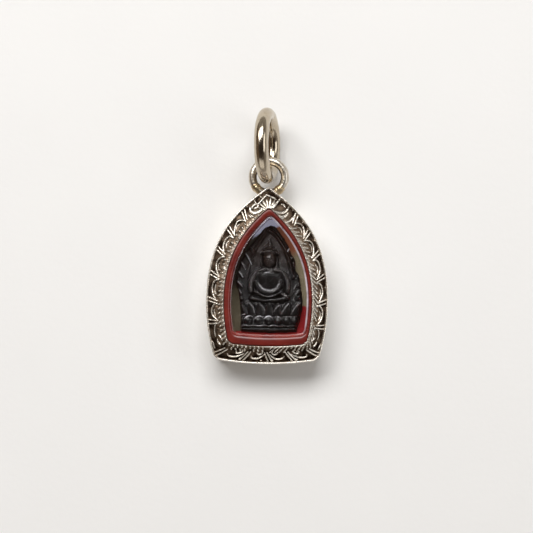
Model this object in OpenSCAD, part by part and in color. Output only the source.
// Amulet pendant: a pressed black plaque behind a clear window, held in a red rim
// by an ornamented silver casing that hangs from a soldered eye and a jump ring.
// The pendant lies on its back. X is its width, Y points to the jump ring and Z is up.

/* [Casing] */
// Width of the casing across its widest line
casing_w = 20.3; // [17:0.1:24]
// Height of the pointed top above the widest line
casing_apex = 19.1; // [17.5:0.1:23]
// Radius of the pointed top's tip
casing_tip_r = 0.5; // [0.3:0.1:0.9]
// How far the shoulders swell out of the side arcs
casing_swell = 0.4; // [0:0.05:0.6]
// Depth of the foot below the widest line
casing_foot = 10.3; // [9:0.1:13]
// Radius of the sides below the widest line
casing_heel_r = 31; // [22:1:60]
// Thickness from the back to the inner border
casing_h = 6.9; // [6.5:0.1:9]
// Thickness of the side wall
wall_t = 1.2; // [0.8:0.1:1.6]
// Radius of the two corners at the foot
foot_corner_r = 1.7; // [1:0.1:2.5]
// Radius of the slight bow of every foot edge
foot_bow_r = 50; // [35:5:120]

/* [Bezel] */
// Width of the ornamented band at the sides
bezel_side = 2.83; // [2.3:0.01:3.4]
// Height of the ornamented band at the pointed top
bezel_apex = 3.7; // [3.2:0.1:5]
// Width of the ornamented band at the foot
bezel_foot = 2.95; // [2.5:0.05:3.6]
// Radius of the tip over the opening
opening_tip_r = 0.8; // [0.5:0.1:1.2]
// How far the opening's shoulders swell out of its side arcs
opening_swell = 0.15; // [0:0.05:0.4]
// How far the opening sits to the right of the middle
opening_shift = 0.15; // [0:0.05:0.3]
// Fall of the band from its inner border to its outer border
bezel_drop = 1.1; // [0.6:0.1:1.5]
// Thickness of the band over the side wall
bezel_t = 0.95; // [0.8:0.05:1.3]
// Width of the plain outer border
border_w = 0.36; // [0.25:0.01:0.5]
// Width of the plain inner border
lip_w = 0.3; // [0.2:0.01:0.45]
// Depth of the ground between the borders
ground_d = 0.42; // [0.25:0.01:0.5]

/* [Ornament] */
// Cells between ribs, from the pointed top to the middle of the foot
cells = 9; // [7:1:11]
// Width of one rib
rib_w = 0.34; // [0.24:0.02:0.44]
// Distance between the two ribs of a pair
rib_gap = 0.56; // [0.48:0.02:0.8]
// How far a rib leans, measured along the band
rib_lean = 1.3; // [0:0.1:2]
// Height of the ornament above its ground
relief_h = 0.36; // [0.2:0.02:0.42]
// Spacing of the slanted beads beside the inner border
bead_pitch = 0.7; // [0.64:0.02:1.4]
// Petals in the fan over the window
fan_petals = 7; // [3:2:9]

/* [Eye and jump ring] */
// Thickness of the eye's wire
eye_wire = 1.4; // [1.2:0.05:1.45]
// Outer diameter of the eye
eye_od = 6.8; // [6.7:0.05:7.6]
// Distance of the eye's centre beyond the pointed top
eye_rise = 1.8; // [1.6:0.05:2.1]
// Height of the eye's wire above the back
eye_z = 4.6; // [4.4:0.1:4.9]
// Thickness of the jump ring's wire
ring_wire = 2.4; // [1.8:0.05:2.5]
// Outer diameter of the jump ring
ring_od = 12.7; // [12.4:0.1:14]
// Tilt of the jump ring out of the pendant's plane
ring_tilt = 80; // [74:1:85]
// How far the ring is drawn up from the middle of the eye
ring_lift = 0.25; // [0:0.05:0.3]

/* [Back, rim and window] */
// Thickness of the back plate
back_t = 0.8; // [0.6:0.1:1.2]
// Gap between pieces that fit into each other
fit = 0.1; // [0.05:0.05:0.15]
// Width of the red rim at the sides
rim_side = 0.85; // [0.7:0.05:1.2]
// Height of the red rim at its pointed top
rim_apex = 1.25; // [0.9:0.05:1.7]
// Width of the red rim at the foot
rim_foot = 1.65; // [1.2:0.05:1.9]
// How far the window sits to the right of the opening's middle
window_shift = 0.25; // [0:0.05:0.25]
// How far the red rim stands below the inner border
rim_drop = 0.35; // [0.2:0.05:0.6]
// Depth of the step in the red rim
rim_step = 0.25; // [0.15:0.05:0.35]
// Width of the ledge that carries the window
ledge_w = 0.35; // [0.25:0.05:0.5]
// Thickness of the window
window_t = 1; // [0.8:0.1:1.3]
// Width of the bevel round the window
window_bevel = 0.3; // [0.15:0.05:0.4]

/* [Plaque] */
// Gap between the plaque and the window's edge at the sides
plaque_gap_side = 0.86; // [0.7:0.02:1.1]
// Gap between the plaque and the window's edge at the top
plaque_gap_apex = 1.2; // [1:0.1:1.8]
// Gap between the plaque and the window's edge at the foot
plaque_gap_foot = 0.65; // [0.5:0.05:1]
// Radius of the plaque's tip
plaque_tip_r = 1.3; // [0.8:0.1:1.8]
// How far the plaque's shoulders swell out of its side arcs
plaque_swell = 0.3; // [0:0.05:0.4]
// Radius of the plaque's sides below the widest line
plaque_heel_r = 14; // [10:1:40]
// Thickness of the plaque's ground
plaque_t = 1.9; // [1.4:0.1:2.1]
// Height of the figure above the plaque's ground
figure_h = 1.5; // [1.1:0.1:1.6]
// Radius of the figure's head
head_r = 1.16; // [0.9:0.02:1.3]
// Radius of the figure's arms
arm_r = 0.4; // [0.3:0.02:0.5]
// Width of the raised lines round the figure
halo_line = 0.24; // [0.16:0.02:0.3]
// Petals in each row of the lotus throne
lotus_petals = 7; // [5:2:9]
// Rays on each side of the halo
halo_rays = 7; // [4:1:9]

/* [Hidden] */

silver = [0.72, 0.69, 0.64];
bright_silver = [0.86, 0.84, 0.8];
rim_red = [0.55, 0.13, 0.11];
clear = [0.85, 0.88, 0.9, 0.35];
black_clay = [0.13, 0.12, 0.12];

// An arch outline is [half width, apex height, foot depth, corner radius, tip radius, swell,
// heel radius], with its heights taken from its widest line
casing_arch = [
    casing_w / 2,
    casing_apex,
    casing_foot,
    foot_corner_r,
    casing_tip_r,
    casing_swell,
    casing_heel_r
];
opening_arch = [
    casing_w / 2 - bezel_side,
    casing_apex - bezel_apex,
    casing_foot - bezel_foot,
    foot_corner_r * 0.8,
    opening_tip_r,
    opening_swell,
    casing_heel_r - bezel_side
];
window_arch = [
    opening_arch[0] - rim_side,
    opening_arch[1] - rim_apex,
    opening_arch[2] - rim_foot,
    foot_corner_r * 0.65,
    opening_tip_r,
    opening_swell,
    opening_arch[6] - rim_side
];
plaque_arch = [
    window_arch[0] - plaque_gap_side,
    window_arch[1] - plaque_gap_apex,
    window_arch[2] - plaque_gap_foot,
    foot_corner_r * 0.35,
    plaque_tip_r,
    plaque_swell,
    plaque_heel_r
];
window_x = opening_shift + window_shift;
cavity_arch = inset(casing_arch, wall_t);
ground_outer = inset(casing_arch, border_w);
ground_inner = inset(opening_arch, -lip_w);

border_z = casing_h - bezel_drop;
cavity_z = border_z - bezel_t;
rim_z = casing_h - rim_drop;
seat_z = rim_z - window_t;

eye_r = (eye_od - eye_wire) / 2;
ring_r = (ring_od - ring_wire) / 2;
eye_y = casing_apex + eye_rise;
// The jump ring rests on the table and its wire passes through the eye
ring_z = ring_r * sin(ring_tilt) + ring_wire / 2;
ring_fall = (ring_z - eye_z) / sin(ring_tilt);
ring_x = -ring_fall * cos(ring_tilt);
ring_y = eye_y + ring_lift + sqrt(ring_r * ring_r - ring_fall * ring_fall);
// The pendant is centred on its own length
mid_y = (ring_y + ring_od / 2 - casing_foot) / 2;

tip_steps = 3;
side_steps = 14;
heel_steps = 4;
corner_steps = 4;
foot_steps = 6;

// Radius and centre of the side arc of an arch outline, and centres of its tip, heel and foot arcs
function side_r(a) =
    (pow(a[1] - a[4], 2) + a[0] * a[0] - a[4] * a[4]) / (2 * (a[0] - a[4]));
function side_c(a) = [a[0] - side_r(a), 0];
function tip_c(a) = [0, a[1] - a[4]];
function heel_c(a) = [a[0] - a[6], 0];
function foot_c(a) = [0, foot_bow_r - a[2]];

// An arch outline moved inwards by t
function inset(a, t) =
    let (tip = max(a[4] - t, 0.1), corner = max(a[3] - t, 0.25))
    [
        a[0] - t,
        sqrt(pow(side_r(a) - t - tip, 2) - pow(side_r(a) - a[0], 2)) + tip,
        a[2] - t,
        corner,
        tip,
        a[5],
        a[6] - t
    ];

// The lower right point where two circles meet
function meet(c0, r0, c1, r1) =
    let (
        d = norm(c1 - c0),
        u = (c1 - c0) / d,
        along_u = (r0 * r0 - r1 * r1 + d * d) / (2 * d),
        across_u = sqrt(max(r0 * r0 - along_u * along_u, 0))
    )
    c0 + along_u * u + across_u * [u[1], -u[0]];
function corner_c(a) = meet(heel_c(a), a[6] - a[3], foot_c(a), foot_bow_r - a[3]);

function bearing(from, to) = atan2(to[1] - from[1], to[0] - from[0]);
function tip_end(a) = bearing(side_c(a), tip_c(a));
function heel_end(a) = bearing(heel_c(a), corner_c(a));
function foot_end(a) = bearing(foot_c(a), corner_c(a));

function on_circle(c, r, angle) = c + r * [cos(angle), sin(angle)];
function mix(a, b, share) = a + (b - a) * share;
function arc(c, r, from, to, steps, first = 0) =
    [for (i = [first:steps]) on_circle(c, r, mix(from, to, i / steps))];

// A point of the side arc, which swells between the tip and the widest line
function on_side(a, share) =
    on_circle(side_c(a), side_r(a) + a[5] * pow(sin(180 * share), 2), tip_end(a) * (1 - share));

// The right half of an arch outline, from the apex down to the middle of the foot
function half_outline(a) = concat(
    arc(tip_c(a), a[4], 90, tip_end(a), tip_steps),
    [for (i = [1:side_steps]) on_side(a, i / side_steps)],
    arc(heel_c(a), a[6], 0, heel_end(a), heel_steps, 1),
    arc(corner_c(a), a[3], heel_end(a), foot_end(a), corner_steps, 1),
    arc(foot_c(a), foot_bow_r, foot_end(a), -90, foot_steps, 1)
);
function outline(a) =
    let (right = half_outline(a), last = len(right) - 1)
    concat(right, [for (i = [last - 1:-1:1]) [-right[i][0], right[i][1]]]);

// Lengths of the tip, side, heel, corner and foot arcs of one half
function arc_len(r, from, to) = abs(from - to) * PI / 180 * r;
function half_parts(a) = [
    arc_len(a[4], 90, tip_end(a)),
    arc_len(side_r(a), tip_end(a), 0),
    arc_len(a[6], 0, heel_end(a)),
    arc_len(a[3], heel_end(a), foot_end(a)),
    arc_len(foot_bow_r, foot_end(a), -90)
];
function half_len(a) = half_parts(a) * [1, 1, 1, 1, 1];

// The bezel's two edges set the shares at which every outline passes from arc to arc
ground_half_len = half_len(inset(casing_arch, bezel_side / 2));
outer_shares = half_parts(casing_arch) / half_len(casing_arch);
inner_shares = half_parts(opening_arch) / half_len(opening_arch);
turn = (outer_shares + inner_shares) / 2;
after_side = turn[0] + turn[1];
after_heel = after_side + turn[2];
after_corner = after_heel + turn[3];

// The point at a share of the half outline, measured from the apex
function along(a, share) =
    share < turn[0] ? on_circle(tip_c(a), a[4], mix(90, tip_end(a), share / turn[0]))
    : share < after_side ? on_side(a, (share - turn[0]) / turn[1])
    : share < after_heel ? on_circle(heel_c(a), a[6], heel_end(a) * (share - after_side) / turn[2])
    : share < after_corner
        ? on_circle(corner_c(a), a[3], mix(heel_end(a), foot_end(a), (share - after_heel) / turn[3]))
        : on_circle(foot_c(a), foot_bow_r, mix(foot_end(a), -90, (share - after_corner) / turn[4]));

// A point on the ground of the bezel, on the right or the left side: a share along the half
// and a share across from its outer border
function on_ground(share, across, side = 1) =
    let (
        outer = along(ground_outer, share),
        inner = along(ground_inner, share),
        x = mix(side * outer[0], side * inner[0] + opening_shift, across)
    )
    [x, mix(outer[1], inner[1], across), mix(border_z, casing_h, across) - ground_d];

// Points of an outline at a height, moved to the right
function at_height(points, z, right = 0) = [for (p = points) [p[0] + right, p[1], z]];

// A solid through rings of points, closed into a band where the last ring meets the first
module loft(rings, band = false) {
    n = len(rings[0]);
    m = len(rings);
    passes = band ? m : m - 1;
    walls = [
        for (j = [0:passes - 1])
            for (i = [0:n - 1])
                let (a = j * n + i, b = j * n + (i + 1) % n, c = ((j + 1) % m) * n)
                each [[a, c + (i + 1) % n, c + i], [a, b, c + (i + 1) % n]]
    ];
    caps = band ? [] : [[for (i = [n - 1:-1:0]) i], [for (i = [0:n - 1]) (m - 1) * n + i]];
    polyhedron([for (ring = rings) each ring], concat(walls, caps), convexity = 6);
}

// A small pointed ridge from one point to another, sunk a little into its ground
module ridge(from, to, r_from, r_to, height, sides = 6) {
    root = height * 0.4;
    hull() {
        translate(from - [0, 0, root]) cylinder(h = height + root, r1 = r_from, r2 = 0, $fn = sides);
        translate(to - [0, 0, root]) cylinder(h = height + root, r1 = r_to, r2 = 0, $fn = sides);
    }
}

// A rounded limb from one ball to another
module limb(from, to, r_from, r_to, sides = 10) {
    hull() {
        translate(from) sphere(r = r_from, $fn = sides);
        translate(to) sphere(r = r_to, $fn = sides);
    }
}

module on_table() {
    translate([0, -mid_y, 0]) children();
}

module both_sides() {
    children();
    mirror([1, 0, 0]) children();
}

module casing_band() {
    outer = outline(casing_arch);
    bevel = border_w / 3;
    loft([
        at_height(outline(inset(casing_arch, bevel)), 0),
        at_height(outer, bevel),
        at_height(outer, border_z - border_w / 2),
        at_height(outline(inset(casing_arch, border_w / 4)), border_z),
        at_height(outline(inset(casing_arch, border_w * 0.7)), border_z),
        at_height(outline(ground_outer), border_z - ground_d),
        at_height(outline(ground_inner), casing_h - ground_d, opening_shift),
        at_height(outline(inset(opening_arch, -lip_w * 0.75)), casing_h, opening_shift),
        at_height(outline(inset(opening_arch, -lip_w * 0.2)), casing_h, opening_shift),
        at_height(outline(opening_arch), casing_h - lip_w / 2, opening_shift),
        at_height(outline(opening_arch), cavity_z, opening_shift),
        at_height(outline(cavity_arch), cavity_z),
        at_height(outline(cavity_arch), 0)
    ], band = true);
}

module rib_pair(share, side) {
    lean = rib_lean / 2 / ground_half_len;
    for (way = [-1, 1]) {
        mid = share + way * rib_gap / 2 / ground_half_len;
        ridge(
            on_ground(mid - lean, 0.02, side), on_ground(mid + lean, 0.82, side),
            rib_w / 2, rib_w / 2, relief_h
        );
    }
}

// One cell holds a nub on the border, a long leaf stroke, a shorter one and a curl
module leaf_cell(share, side) {
    cell = 1 / cells;
    r = rib_w / 2;
    function spot(s, across) = on_ground(share + s * cell, across, side);
    ridge(spot(0.5, -0.08), spot(0.56, 0.06), r, r, relief_h);
    ridge(spot(0.2, 0.42), spot(0.56, 0.2), r * 0.8, r, relief_h);
    ridge(spot(0.56, 0.2), spot(0.82, 0.42), r, r * 0.7, relief_h);
    ridge(spot(0.4, 0.46), spot(0.72, 0.5), r * 0.8, r * 0.6, relief_h * 0.9);
}

// Beads between two shares across the bezel
module bead_column(side, outer, inner, first) {
    count = floor(half_len(ground_inner) / bead_pitch);
    r = bead_pitch * 0.27;
    for (i = [first:count - 1])
        ridge(
            on_ground((i + 0.2) / count, outer, side), on_ground((i - 0.2) / count, inner, side),
            r, r, relief_h * 0.8, 4
        );
}

// Petals that spread from the window's pointed top, under a pair of rafters
module apex_fan() {
    inner = on_ground(0, 1);
    fall = bezel_drop / (ground_outer[1] - ground_inner[1]);
    reach = (bezel_apex - lip_w - border_w) * 0.5;
    spread = 50;
    function spot(angle, r) = inner + r * [sin(angle), cos(angle), -fall];
    for (i = [0:fan_petals - 1]) {
        angle = mix(-spread, spread, i / (fan_petals - 1));
        ridge(spot(angle, reach * 0.4), spot(angle, reach), rib_w * 0.35, rib_w * 0.6, relief_h);
    }
    for (side = [-1, 1])
        ridge(
            on_ground(0.012, 0.36, side), on_ground(0.5 / cells, 0.3, side),
            rib_w / 2, rib_w / 2, relief_h
        );
}

module eye() {
    translate([0, eye_y, eye_z])
        rotate_extrude($fn = 30)
            translate([eye_r, 0]) circle(d = eye_wire, $fn = 12);
}

module casing() {
    color(silver) on_table() {
        casing_band();
        difference() {
            eye();
            translate([0, 0, -wall_t]) linear_extrude(height = cavity_z + wall_t)
                polygon(outline(inset(cavity_arch, -wall_t / 2)));
        }
        for (side = [-1, 1]) {
            for (k = [1:cells - 1]) rib_pair(k / cells, side);
            for (k = [1:cells - 1]) leaf_cell(k / cells, side);
            bead_column(side, 0.84, 0.98, 1);
            bead_column(side, 0.64, 0.78, 4);
        }
        rib_pair(1, 1);
        apex_fan();
    }
}

module back_plate() {
    color(silver) on_table()
        linear_extrude(height = back_t)
            polygon(outline(inset(cavity_arch, fit)));
}

module red_rim() {
    shoulder = at_height(outline(inset(opening_arch, fit)), rim_z, opening_shift);
    seat = at_height(outline(inset(window_arch, -fit)), rim_z, window_x);
    ledge = outline(inset(window_arch, ledge_w));
    low = back_t + fit;
    high = cavity_z - fit;
    color(rim_red) on_table() loft([
        at_height(outline(inset(cavity_arch, fit)), low),
        at_height(outline(inset(cavity_arch, fit)), high),
        at_height(shoulder, high),
        at_height(shoulder, rim_z - rim_step),
        at_height(mix(shoulder, seat, 0.4), rim_z - rim_step),
        at_height(mix(shoulder, seat, 0.5), rim_z),
        seat,
        at_height(seat, seat_z),
        at_height(ledge, seat_z, window_x),
        at_height(ledge, low, window_x)
    ], band = true);
}

module window() {
    color(clear) on_table() loft([
        at_height(outline(window_arch), seat_z + fit, window_x),
        at_height(outline(window_arch), rim_z - window_bevel / 2, window_x),
        at_height(outline(inset(window_arch, window_bevel)), rim_z, window_x)
    ]);
}

plaque_len = plaque_arch[1] + plaque_arch[2];
plaque_z = back_t + fit;
ground_z = plaque_z + plaque_t;

// A point on the plaque: shares of its half width, its length up from the foot, and the figure's height
function on_plaque(u, v, h = 0) = [
    u * plaque_arch[0],
    v * plaque_len - plaque_arch[2],
    ground_z + h * figure_h
];

module plaque_slab() {
    edge = halo_line;
    loft([
        at_height(outline(plaque_arch), plaque_z),
        at_height(outline(plaque_arch), ground_z - edge),
        at_height(outline(inset(plaque_arch, edge)), ground_z)
    ]);
}

// Row of lotus petals that lean outwards, between two heights of the plaque
module lotus_row(v_low, v_high, half_w, tip_shift) {
    r = half_w * plaque_arch[0] / lotus_petals;
    for (i = [0:lotus_petals - 1]) {
        u = mix(-half_w, half_w, (i + 0.5) / lotus_petals);
        ridge(
            on_plaque(u, v_low), on_plaque(u * (1 + tip_shift), v_high),
            r * 0.85, r * 0.55, figure_h * 0.45, 8
        );
    }
}

// A bar across the plaque, centred at a height v
module bar(v, width, length, height) {
    translate(on_plaque(0, v) - [width / 2, length / 2, height / 2])
        cube([width, length, height * 1.5]);
}

module throne() {
    full_w = plaque_arch[0] * 1.7;
    bar(0.03, full_w, plaque_len * 0.045, figure_h * 0.4);
    lotus_row(0.075, 0.135, 0.84, 0.06);
    bar(0.163, full_w * 0.86, plaque_len * 0.022, figure_h * 0.4);
    lotus_row(0.195, 0.26, 0.72, 0.12);
}

module seated_figure() {
    // crossed legs
    both_sides() limb(on_plaque(0.5, 0.325, 0.2), on_plaque(0.04, 0.31, 0.22), arm_r * 1.55, arm_r * 1.75);
    // folded hands in the lap
    limb(on_plaque(-0.12, 0.365, 0.5), on_plaque(0.14, 0.365, 0.5), arm_r * 0.9, arm_r * 0.9, 8);
    // trunk and shoulders
    hull() {
        both_sides() translate(on_plaque(0.36, 0.565, 0.2)) sphere(r = arm_r * 1.65, $fn = 12);
        both_sides() translate(on_plaque(0.2, 0.4, 0.2)) sphere(r = arm_r * 1.75, $fn = 12);
    }
    both_sides() {
        // upper arm and forearm
        limb(on_plaque(0.46, 0.56, 0.25), on_plaque(0.54, 0.42, 0.25), arm_r * 1.15, arm_r, 10);
        limb(on_plaque(0.54, 0.42, 0.25), on_plaque(0.16, 0.365, 0.5), arm_r * 0.95, arm_r * 0.75, 8);
        // long ear
        ridge(on_plaque(0.19, 0.69), on_plaque(0.21, 0.61), head_r * 0.17, head_r * 0.22, figure_h * 0.6);
    }
    // neck and head
    translate(on_plaque(0, 0.57)) cylinder(h = figure_h * 0.6, r = head_r * 0.43, $fn = 12);
    translate(on_plaque(0, 0.675, 0.3)) scale([0.82, 1.12, 0.9]) sphere(r = head_r, $fn = 18);
    // nose
    ridge(
        on_plaque(0, 0.695, 0.92), on_plaque(0, 0.662, 0.95),
        head_r * 0.07, head_r * 0.13, figure_h * 0.11, 5
    );
    // brim and tiers of the headdress
    limb(on_plaque(-0.17, 0.752, 0.45), on_plaque(0.17, 0.752, 0.45), head_r * 0.26, head_r * 0.26, 8);
    limb(on_plaque(0, 0.77, 0.3), on_plaque(0, 0.8, 0.25), head_r * 0.57, head_r * 0.4, 10);
    limb(on_plaque(0, 0.81, 0.2), on_plaque(0, 0.87, 0.1), head_r * 0.31, head_r * 0.14, 8);
}

// Two raised lines round the figure, and rays between them and the plaque's edge
module halo() {
    inner = [
        plaque_arch[0] * 0.66,
        plaque_arch[1] * 0.88,
        plaque_arch[2],
        plaque_arch[3],
        plaque_tip_r * 0.7,
        plaque_swell,
        plaque_heel_r
    ];
    intersection() {
        for (a = [inner, inset(inner, -2 * halo_line)])
            translate([0, 0, ground_z - halo_line])
                linear_extrude(height = figure_h * 0.22 + halo_line)
                    difference() {
                        polygon(outline(a));
                        polygon(outline(inset(a, halo_line)));
                    }
        translate(on_plaque(-1, 0.27, -1)) cube([plaque_arch[0] * 2, plaque_len, figure_h * 2]);
    }
    root = inset(inner, -3.6 * halo_line);
    tip = inset(plaque_arch, 1.6 * halo_line);
    both_sides()
        for (i = [0:halo_rays - 1]) {
            share = mix(0.1, 0.68, i / (halo_rays - 1));
            low = along(root, share + 0.03);
            high = along(tip, share);
            ridge(
                [low[0], low[1], ground_z], [high[0], high[1], ground_z],
                halo_line * 1.1, halo_line * 0.7, figure_h * 0.2
            );
        }
}

module plaque() {
    color(black_clay) on_table() translate([window_x, 0, 0]) {
        plaque_slab();
        throne();
        seated_figure();
        halo();
    }
}

module jump_ring() {
    color(bright_silver) on_table()
        translate([ring_x, ring_y, ring_z])
            rotate([0, ring_tilt, 0])
                rotate_extrude($fn = 64)
                    translate([ring_r, 0]) circle(d = ring_wire, $fn = 32);
}

casing();
back_plate();
red_rim();
window();
plaque();
jump_ring();
